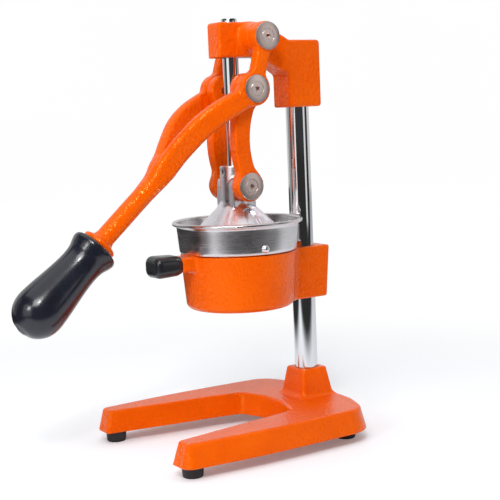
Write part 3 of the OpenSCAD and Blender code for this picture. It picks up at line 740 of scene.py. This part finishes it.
def link_field(x, y, z):
    """Right link: a piece of a ring between a middle and a lower eye."""
    ring = np.abs(np.hypot(y - RING_Y, z - RING_Z) - RING_R) - LINK_W / 2
    ring = np.maximum(np.maximum(ring, between(z, LOW_Z + 6, MID_Z - 6)), y - 20)
    flat = join(ring, disc(y, z, MID_Y, MID_Z, LINK_MID_R), 6.0)
    flat = join(flat, disc(y, z, 0, LOW_Z, LINK_LOW_R), 5.0)
    body = meet(flat, between(x, LINK_X0, LINK_X1), 2.2)
    body = cut(body, disc(y, z, 0, LOW_Z, LINK_LOW_BORE_R), 0.3)
    return cut(body, disc(y, z, MID_Y, MID_Z, LINK_MID_BORE_R), 0.3)


for name, node, side in (("link_right", "right_link", 1), ("link_left", "left_link", -1)):
    near, far = sorted((side * 13, side * 28))
    link = cast(name, lambda x, y, z, side=side: link_field(x * side, y, z),
                (near, -18, 226), (far, 22, 352), 0.75, symmetric=False)
    dress(link, orange_rough, "links", "orange_enamel", node)

# ---- pivot washers and screws ----

WASHER_R, WASHER_BORE_R, WASHER_T = 12.8, 4.3, 1.6
SCREW_R, SCREW_SHANK_R, SOCKET_R = 6.3, 4.0, 2.3
washer_profile = [
    (WASHER_BORE_R, 0), (WASHER_R - 0.3, 0), (WASHER_R, 0.3), (WASHER_R, WASHER_T - 0.45),
    (WASHER_R - 0.15, WASHER_T - 0.12), (WASHER_R - 0.5, WASHER_T), (SCREW_R + 0.42, WASHER_T),
    (SCREW_R + 0.28, WASHER_T - 0.12), (SCREW_R + 0.2, WASHER_T - 0.7), (WASHER_BORE_R, 0.45),
    (WASHER_BORE_R, 0)]
screw_profile = [
    (0, -10), (3.9, -10), (SCREW_SHANK_R, -9.6), (SCREW_SHANK_R, 0.1), (SCREW_R, WASHER_T - 0.6),
    (SCREW_R, WASHER_T - 0.2), (SCREW_R - 0.2, WASHER_T - 0.03),
    (SOCKET_R + 0.25, WASHER_T - 0.03), (SOCKET_R, WASHER_T - 0.2), (SOCKET_R, WASHER_T - 0.5),
    (SOCKET_R, WASHER_T - 3), (0, WASHER_T - 3.6)]
SOCKET_RINGS = (8, 9, 10)  # rings of the screw's profile that form its hexagon socket
PIVOTS = (
    ("top", "stand", TOP_Y, TOP_Z), ("mid", "lever", MID_Y, MID_Z), ("low", "links", 0.0, LOW_Z))
for label, body, py, pz in PIVOTS:
    face_x = cad_box(f"{label}_pivot_washers")[1][0] - WASHER_T
    for part, profile, sides, hexagon in (("washers", washer_profile, 72, ()),
                                          ("screws", screw_profile, 48, SOCKET_RINGS)):
        pair = [lathe(part, profile, (side * face_x, py, pz), axis, sides, hexagon)
                for side, axis in SIDES]
        dress(merged(f"{label}_{part}", pair), steel, body, "machined_steel",
              f"{label}_pivot_{part}")

# ---- press cup ----

STEM_R = 14.5
LUG_X, LUG_R, LUG_BORE_R, LUG_BORE_DEPTH = LINK_X0 - 0.3, 12.7, 4.2, 6.5
CONE_TOP, CONE_TOP_R, CONE_SLOPE = 225.0, 18.0, 0.94
LOBES = 0.085  # how much the cone is drawn in at the front, rear and sides
LOBED_SCALE = 0.94  # keeps the lobed cone's field within true distance
SHELL_TOP, CUP_CEILING, CONE_WALL, SKIRT_WALL = 229, 222, 4.2, 4.0
NICHE_HALF, NICHE_TOP, NICHE_DEPTH = 6.3, 216.5, 2.2
SET_SCREW_Z, SET_SCREW_R = 258, 2.7
ROD_SEAT = 231.9  # where the rod's lower end sits in the stem


def press_field(x, y, z):
    """Hollow lobed cone with a niche in each side, two lugs, and the stem that holds the rod."""
    x = np.abs(x)
    r = np.hypot(x, y)
    lobes = np.abs(np.cos(2 * np.arctan2(y, x)))
    lean = 1 / math.hypot(1, CONE_SLOPE)
    cone_r = CONE_TOP_R + (CONE_TOP - z) / CONE_SLOPE
    cone = (r - cone_r * (1 - LOBES * lobes)) * lean * LOBED_SCALE
    arch = np.where(z < NICHE_TOP, np.abs(y), np.hypot(y, z - NICHE_TOP)) - NICHE_HALF
    niche = meet(arch, -(cone + NICHE_DEPTH), 0.4)
    skirt = r - PRESS_R + 0.1
    shell = meet(cut(cone, niche, 0.6), skirt, 2.0)
    shell = meet(meet(shell, z - SHELL_TOP, 1.0), PRESS_Z - z, 0.8)
    hollow = np.maximum(np.maximum(cone + CONE_WALL, skirt + SKIRT_WALL), z - CUP_CEILING)
    shell = cut(shell, hollow, 1.0)
    stem = meet(r - STEM_R, between(z, CUP_CEILING, STEM_TOP), 0.7)
    below = np.maximum(np.abs(y) - LUG_R, between(z, CUP_CEILING, LOW_Z))
    lug = meet(np.minimum(disc(y, z, 0, LOW_Z, LUG_R), below), x - LUG_X, 0.9)
    body = join(join(shell, stem, 2.5), lug, 1.0)
    body = cut(body, np.maximum(disc(x, z, 0, SET_SCREW_Z, SET_SCREW_R), y), 0.2)
    bores = np.maximum(disc(y, z, 0, LOW_Z, LUG_BORE_R), LUG_X - LUG_BORE_DEPTH - x)
    body = cut(body, bores, 0.2)
    return cut(body, np.maximum(r - ROD_R - 0.02, ROD_SEAT - z), 0.4)


press = cast("press", press_field, (-45, -45, 183), (45, 45, 265), 0.8)
dress(press, aluminium, "press", "cast_aluminium", "press_cup")

# ---- strainer: spun wall with a rolled rim, and a pan with two rings of holes ----

BEAD_R = 1.95
BEAD_START, BEAD_END = math.radians(-115), math.radians(190)
bead = [(RIM_R - BEAD_R + BEAD_R * math.cos(a), RIM_Z - BEAD_R + BEAD_R * math.sin(a))
        for a in np.linspace(BEAD_START, BEAD_END, 22)]
wall_outside = [
    (48.9, PAN_Z), (49.4, PAN_Z + 0.25), (49.8, PAN_Z + 1.0), (50, PAN_Z + 3),
    (50.1, HOLDER_TOP - 1), (50.6, HOLDER_TOP + 0.1), (51.8, HOLDER_TOP + 0.32),
    (53.6, HOLDER_TOP + 0.4), (54.9, HOLDER_TOP + 0.9), (55.6, HOLDER_TOP + 1.7),
    (56.0, HOLDER_TOP + 2.9), (56.15, HOLDER_TOP + 4.2), (56.5, HOLDER_TOP + 8),
    (57.6, RIM_Z - 10), (57.95, RIM_Z - 6.2), (58.1, RIM_Z - 5.2), (58.5, RIM_Z - 4.5),
    (59.1, RIM_Z - 3.9)]
wall_inside = [
    (57.2, RIM_Z - 5.2), (56.5, RIM_Z - 10), (55.4, HOLDER_TOP + 8), (54.9, HOLDER_TOP + 3.6),
    (54.2, HOLDER_TOP + 2.2), (53.2, HOLDER_TOP + 1.6), (50.6, HOLDER_TOP + 1.3),
    (49.5, HOLDER_TOP + 0.7), (48.9, HOLDER_TOP - 0.6), (48.9, PAN_Z + 1.2), (48.9, PAN_Z)]
wall = lathe("wall", wall_outside + bead + wall_inside, (0, 0, 0), sides=144)

CELL_SIDE = 4  # edges along each side of the square cell round a hole


def perforated(rings, z0, z1):
    """Flat pan: a plain disc, then rings of (middle radius, half width, count, hole radius)."""
    corners, faces = [], []

    def ring_corner(angle, radius, level):
        """Add a corner."""
        corners.append((radius * math.cos(angle), radius * math.sin(angle), level))

    steps = [-1 + 2 * k / CELL_SIDE for k in range(CELL_SIDE)]
    square = [(t, -1) for t in steps] + [(1, t) for t in steps]
    square += [(-t, 1) for t in steps] + [(-1, -t) for t in steps]
    n = len(square)
    for mid, half, count, hole in rings:
        for i in range(count):
            at, wide = 2 * math.pi * i / count, math.pi / count
            top = len(corners)
            low = top + 2 * n
            for level in (z1, z0):
                for u, v in square:
                    ring_corner(at + u * wide, mid + v * half, level)
                for u, v in square:
                    c = hole / math.hypot(u, v)
                    ring_corner(at + c * u / mid, mid + c * v, level)
            for k in range(n):
                j = (k + 1) % n
                faces.append((top + k, top + j, top + n + j, top + n + k))
                faces.append((low + n + k, low + n + j, low + j, low + k))
                faces.append((top + n + k, top + n + j, low + n + j, low + n + k))
    inner = rings[0][0] - rings[0][1]
    n = rings[0][2] * CELL_SIDE
    for level, order in ((z1, 1), (z0, -1)):
        centre = len(corners)
        corners.append((0, 0, level))
        for k in range(n):
            ring_corner(2 * math.pi * (k - CELL_SIDE / 2) / n, inner, level)
        for k in range(n):
            faces.append((centre, centre + 1 + k, centre + 1 + (k + 1) % n)[::order])
    return corners, faces


PAN_RINGS = [(41.0, 2.6, 36, 1.5), (45.6, 2.0, 36, 1.5), (48.3, 0.7, 36, 0.01)]
pan = new_object("pan", *perforated(PAN_RINGS, PAN_Z + 0.1, PAN_Z + 1.2))
clean(pan)
strainer = merged("strainer", [wall, pan])
dress(strainer, stainless, "stand", "stainless_sheet", "strainer_cup")

PEG_X, PEG_Z = 56.15, HOLDER_TOP + 6.5
PEG_TURN = math.radians(6)
peg_profile = [
    (0, 3.55), (0.8, 3.48), (1.8, 3.1), (2.8, 2.4), (3.45, 1.5), (3.8, 0.6), (3.9, 0), (0, 0)]
pegs = []
for side, axis in SIDES:
    peg = lathe("peg", peg_profile, (side * PEG_X, 0, PEG_Z), axis, 40)
    spin = Matrix.Translation((0, ROD_Y, 0)) @ Matrix.Rotation(-side * PEG_TURN, 4, "Z")
    peg.data.transform(spin @ Matrix.Translation((0, -ROD_Y, 0)))
    pegs.append(peg)
dress(merged("pegs", pegs), aluminium, "stand", "machined_steel", "strainer_pegs")

# ---- reamer ----

REAMER_TOP = reamer_hi[2]
REAMER_SIDE = rounded([
    (-5, PAN_Z + 1.3, 0), (36.4, PAN_Z + 1.3, 0.5), (36.4, PAN_Z + 4, 1.5), (33, PAN_Z + 9, 6),
    (22, REAMER_TOP - 21, 30), (9.5, REAMER_TOP - 3, 6), (-5, REAMER_TOP + 1.4, 0)])
FLUTES, FLUTE_DEPTH = 10, 0.16  # ribs round the cone, and how deep the grooves between them are
FLUTED_SCALE = 0.8  # keeps the fluted cone's field within true distance


def reamer_field(x, y, z):
    """Fluted cone on a round foot."""
    r = np.hypot(x, y)
    flutes = np.abs(np.sin(FLUTES / 2 * np.arctan2(y, x)))
    foot = np.clip((z - PAN_Z - 3) / 4, 0, 1)
    return polygon(r * (1 + FLUTE_DEPTH * flutes * foot), z, REAMER_SIDE) * FLUTED_SCALE


reamer = cast("reamer", reamer_field, (-38, -38, 175), (38, 38, 223), 0.9)
dress(reamer, aluminium, "stand", "cast_aluminium", "reamer_cone")

# ---- holder ----

BOWL_R, BOWL_FLARE, BOWL_WALL, BOWL_FLOOR = 51.2, 4.3, 5.0, 6.5
SEAT_R = 50.45  # of the ring that holds the strainer
OUTLET_R = 20
BRACKET_HALF, BRACKET_REAR, BRACKET_LEAN = 15.2, holder_hi[1], 4.5
BRACKET_TOP = HOLDER_TOP - 2
NOTCH_R, NOTCH_H = 1.1, 19  # groove across the bracket's rear
STUB_TOP, STUB_H, STUB_HALF = holder_hi[2], 13.5, 12
STUB_FRONT, STUB_STEP = -67.9, -57.5
TAB_HALF, TAB_FRONT = 8, -89.9


def tab_height(z):
    """Slab that holds the tab, which goes into the small grip."""
    return between(z, STUB_TOP - 10, STUB_TOP - 4)


def holder_field(x, y, z):
    """Bowl with its outlet, the bracket round the column, and the stub and tab in front."""
    x = np.abs(x)
    r = np.hypot(x, y)
    bowl_r = BOWL_R + BOWL_FLARE * (z - HOLDER_Z) / (HOLDER_TOP - HOLDER_Z)
    bowl = meet(meet(r - bowl_r, HOLDER_Z - z, 5.5), z - HOLDER_TOP, 1.2)
    rear = BRACKET_REAR - BRACKET_LEAN * (BRACKET_TOP - z) / (BRACKET_TOP - HOLDER_Z)
    bracket = meet(x - BRACKET_HALF, y - rear, 3.0)
    bracket = meet(meet(bracket, between(z, HOLDER_Z, BRACKET_TOP), 2.0), 30 - y, 1)
    bowl = join(bowl, bracket, 9.0)
    stub_z = np.where(y < STUB_STEP, STUB_TOP, HOLDER_TOP)
    stub = meet(x - STUB_HALF, np.maximum(STUB_TOP - STUB_H - z, z - stub_z), 3.0)
    stub = meet(stub, between(y, STUB_FRONT, -40), 1.5)
    tab = np.maximum(np.maximum(x - TAB_HALF, tab_height(z)), between(y, TAB_FRONT, -60))
    body = np.minimum(join(bowl, stub, 3.5), tab)
    inner_r = np.where(z > PAN_Z - 1, SEAT_R, bowl_r - BOWL_WALL)
    body = cut(body, meet(r - inner_r, HOLDER_Z + BOWL_FLOOR - z, 8.0), 0.6)
    body = cut(body, r - OUTLET_R, 1.2)
    body = cut(body, np.hypot(y - rear - 0.2, z - HOLDER_Z - NOTCH_H) - NOTCH_R, 0.3)
    body = cut(body, disc(x, y, 0, COLUMN_Y, COLUMN_R + 0.25), 0.6)
    screw = np.maximum(disc(x, z, 0, HOLDER_Z + 18.5, GRUB_HOLE_R), COLUMN_Y - y)
    return cut(body, screw, 0.6)


holder = cast("holder", holder_field, (-58, -92, 127), (58, 99, 185), 0.95)
dress(holder, orange_smooth, "stand", "orange_enamel", "holder_casting")

TAB_GRIP_END = 5.5
LIP, LIP_INSET = 2.6, 1.0  # raised ring at the rear end of the small grip


def small_grip_field(x, y, z):
    """Soft block with a raised lip, hollow where the tab goes in."""
    lo, hi = tab_grip_lo, tab_grip_hi
    mid, half = (lo + hi) / 2, (hi - lo) / 2 - 0.1
    swell = 1 - 0.10 * np.clip((y - lo[1]) / (hi[1] - lo[1]), 0, 1) ** 2
    ax, az = np.abs(x) - half[0] * swell, np.abs(z - mid[2]) - half[2] * swell
    body = meet(meet(ax, az, 7.5), np.abs(y - mid[1]) - half[1], TAB_GRIP_END)
    lip = meet(meet(ax + LIP_INSET, az + LIP_INSET, 7.0), between(y, hi[1] - LIP, hi[1] - 0.1), 1.2)
    body = join(body, lip, 1.0)
    tab = np.maximum(np.maximum(np.abs(x) - TAB_HALF, tab_height(z)), -90 - y)
    return np.maximum(body, -tab)


small_grip = cast("small_grip", small_grip_field, tab_grip_lo - 1.5, tab_grip_hi + 1.5, 0.7)
dress(small_grip, soft_grip, "stand", "black_rubber", "holder_grip")

# ---- CAD pieces that keep their own shape ----

KEPT = ("foot_screws", "column_bolt", "column_washer", "head_set_screws", "top_pivot_sleeves",
        "mid_pivot_sleeves", "low_pivot_sleeves", "holder_set_screw")
for node in KEPT:
    paint(frame["nodes"][node], steel)
paint(frame["nodes"]["rod_set_screw"], bare_iron)

# ---- stage, lights and camera ----

CAMERA_AZ, CAMERA_EL, CAMERA_ROLL = math.radians(57.46), math.radians(6.76), math.radians(-2.38)
WHITE = (1, 1, 1)
FLOOR_HALF = 7
FLOOR_GREY = (0.86, 0.89, 0.93), (0.88, 0.91, 0.95)
FLOOR_FADE = (0.32, 0.75)  # distances over which the floor turns plain white to the camera
FLOOR_LIFT = 0.15
MIRROR_TURNS = (20, -108)  # where glossy pieces mirror a dark floor, as in the photographer's room
MIRROR_FADE = (0.22, 0.50)
MIRROR_DARK = 0.03
BACKDROP_AT, BACKDROP_H = 3.6, 4.3
BACKDROP_TURNS = range(103, 236, 6)
BACKDROP_WHITE = (0.99, 0.99, 0.99)
BACKDROP_MIRRORED = 0.7


def around(turn, distance, height):
    """Place at an angle to the right of the camera's side, seen from the object."""
    a = CAMERA_AZ + math.radians(turn)
    return (math.sin(a) * distance, -math.cos(a) * distance, height)


def card(name, rows):
    """Stage card through rows of corners, and its material's nodes."""
    corners = [c for row in rows for c in row]
    n = len(rows[0])
    faces = [(i * n + k, i * n + k + 1, (i + 1) * n + k + 1, (i + 1) * n + k)
             for i in range(len(rows) - 1) for k in range(n - 1)]
    mesh = bpy.data.meshes.new(name)
    mesh.from_pydata(corners, [], faces)
    nodes = Nodes(name)
    mesh.materials.append(nodes.mat)
    shown(bpy.data.objects.new(name, mesh))
    return nodes


def mixed(n, factor, a, b):
    """Shader that goes from a to b with the factor."""
    node = n.add("ShaderNodeMixShader")
    for socket, source in zip(node.inputs, (factor, a, b)):
        n.link(source, socket)
    return node.outputs[0]


def glow(n, strength):
    """Emission of a fixed strength, or of one that a socket gives."""
    node = n.add("ShaderNodeEmission")
    if isinstance(strength, float):
        node.inputs["Strength"].default_value = strength
    else:
        n.link(strength, node.inputs["Strength"])
    return node


def floor_shader(n):
    """Pale floor that keeps the shadow near the object, plain white to the camera further out."""
    n.colour(n.noise(3), *FLOOR_GREY)
    n.set(Roughness=0.9, Specular_IOR_Level=0.0)
    distance = n.add("ShaderNodeVectorMath")
    distance.operation = "LENGTH"
    n.link(n.place, distance.inputs[0])
    sides = []
    for turn in MIRROR_TURNS:
        ahead = n.add("ShaderNodeVectorMath")
        ahead.operation = "DOT_PRODUCT"
        ahead.inputs[1].default_value = around(turn, 1, 0)
        n.link(n.place, ahead.inputs[0])
        sides.append(n.span(ahead.outputs["Value"], 0.0, 1.0, MIRROR_FADE, smooth=True))
    ray = n.add("ShaderNodeLightPath").outputs
    lifted = n.add("ShaderNodeAddShader")
    n.link(n.bsdf.outputs[0], lifted.inputs[0])
    lift = n.math("MULTIPLY", ray["Is Camera Ray"], FLOOR_LIFT)
    n.link(glow(n, lift).outputs[0], lifted.inputs[1])
    far = n.span(distance.outputs["Value"], 0.0, 1.0, FLOOR_FADE, smooth=True)
    seen = mixed(n, n.math("MULTIPLY", far, ray["Is Camera Ray"]),
                 lifted.outputs[0], glow(n, 1.0).outputs[0])
    mirrored = n.math("MULTIPLY", n.math("MAXIMUM", *sides), ray["Is Glossy Ray"])
    n.link(mixed(n, mirrored, seen, glow(n, MIRROR_DARK).outputs[0]), n.out.inputs[0])


def backdrop_shader(n):
    """White sheet, a little darker in the object's reflections."""
    ray = n.add("ShaderNodeLightPath").outputs
    to_eye = n.math("MULTIPLY", ray["Is Camera Ray"], 1 - BACKDROP_MIRRORED)
    sheet = glow(n, n.math("ADD", to_eye, BACKDROP_MIRRORED))
    n.link(n.ramp(n.noise(2), BACKDROP_WHITE, WHITE), sheet.inputs["Color"])
    n.link(sheet.outputs[0], n.out.inputs[0])


floor_shader(card("floor", [[(-FLOOR_HALF, y, 0), (FLOOR_HALF, y, 0)]
                            for y in (-FLOOR_HALF, FLOOR_HALF)]))
# the backdrop stands behind the object, far enough out to leave room for cameras on that side
backdrop_shader(card("backdrop", [[around(turn, BACKDROP_AT, h) for turn in BACKDROP_TURNS]
                                  for h in (0.001, BACKDROP_H)]))

SKY_LIGHT = 0.27, (1, 0.99, 0.98)
SKY_MIRRORED = 0.05, (0.9, 0.92, 1.0)
SKY_SEEN = 1.0, WHITE

world = bpy.data.worlds.new("studio")
bpy.context.scene.world = world
world.use_nodes = True
tree = world.node_tree
tree.nodes.clear()
ray = tree.nodes.new("ShaderNodeLightPath").outputs


def sky(strength, colour):
    """Background of one strength and colour."""
    node = tree.nodes.new("ShaderNodeBackground")
    node.inputs["Color"].default_value = (*colour, 1)
    node.inputs["Strength"].default_value = strength
    return node.outputs[0]


def sky_mix(factor, a, b):
    """Background that goes from a to b with the factor."""
    node = tree.nodes.new("ShaderNodeMixShader")
    for socket, source in zip(node.inputs, (factor, a, b)):
        tree.links.new(source, socket)
    return node.outputs[0]


room = sky_mix(ray["Is Glossy Ray"], sky(*SKY_LIGHT), sky(*SKY_MIRRORED))
room = sky_mix(ray["Is Camera Ray"], room, sky(*SKY_SEEN))
tree.links.new(room, tree.nodes.new("ShaderNodeOutputWorld").inputs[0])

LIGHTS_FACE = Vector((0, 0.02, 0.2))
LIGHTS = [  # name, place, width and height, and brightness, where 1 is the white of the picture
    ("left_box", around(-42, 1.4, 0.5), (0.95, 1.1), 0.95),
    ("far_left_box", around(-112, 1.4, 0.5), (0.9, 1.0), 0.30),
    ("right_box", around(68, 1.4, 0.5), (0.46, 0.9), 0.74),
    ("top_box", (0.0, 0.0, 1.5), (2.0, 2.0), 0.92),
    ("key", around(-11, 1.2, 1.25), (0.60, 0.60), 6.8),
    ("key_lamp", around(0, 1.15, 1.2), (0.16, 0.16), 44),
    ("low_lamp", around(-36, 1.5, 0.8), (0.30, 0.30), 11),
]
for name, place, (width, height), brightness in LIGHTS:
    light = bpy.data.lights.new(name, "AREA")
    light.shape = "RECTANGLE"
    light.size, light.size_y = width, height
    light.energy = brightness * math.pi * width * height
    lamp = shown(bpy.data.objects.new(name, light))
    lamp.location = place
    facing = LIGHTS_FACE - Vector(place)
    lamp.rotation_euler = facing.to_track_quat("-Z", "Y").to_euler()

CAMERA_AT = (943.18, -588.86, 314.03)
LENS_PX, PICTURE_PX, SENSOR = 1175.22, 500, 36.0
NEAR, FAR = 0.02, 60


def camera_axes():
    """Right, up and backward directions of the camera that took the photograph, as columns."""
    back = np.array((math.sin(CAMERA_AZ) * math.cos(CAMERA_EL),
                     -math.cos(CAMERA_AZ) * math.cos(CAMERA_EL), math.sin(CAMERA_EL)))
    right = np.array((math.cos(CAMERA_AZ), math.sin(CAMERA_AZ), 0))
    up = np.cross(back, right)
    rolled_right = math.cos(CAMERA_ROLL) * right + math.sin(CAMERA_ROLL) * up
    rolled_up = -math.sin(CAMERA_ROLL) * right + math.cos(CAMERA_ROLL) * up
    return np.stack((rolled_right, rolled_up, back), 1)


camera_data = bpy.data.cameras.new("camera")
camera_data.sensor_width = SENSOR
camera_data.lens = SENSOR * LENS_PX / PICTURE_PX
camera_data.clip_start, camera_data.clip_end = NEAR, FAR
camera = shown(bpy.data.objects.new("camera", camera_data))
turned = Matrix(camera_axes().tolist()).to_4x4()
camera.matrix_world = Matrix.Translation(Vector(to_frame(CAMERA_AT))) @ turned
bpy.context.scene.camera = camera
bpy.context.scene.view_settings.view_transform = "Standard"
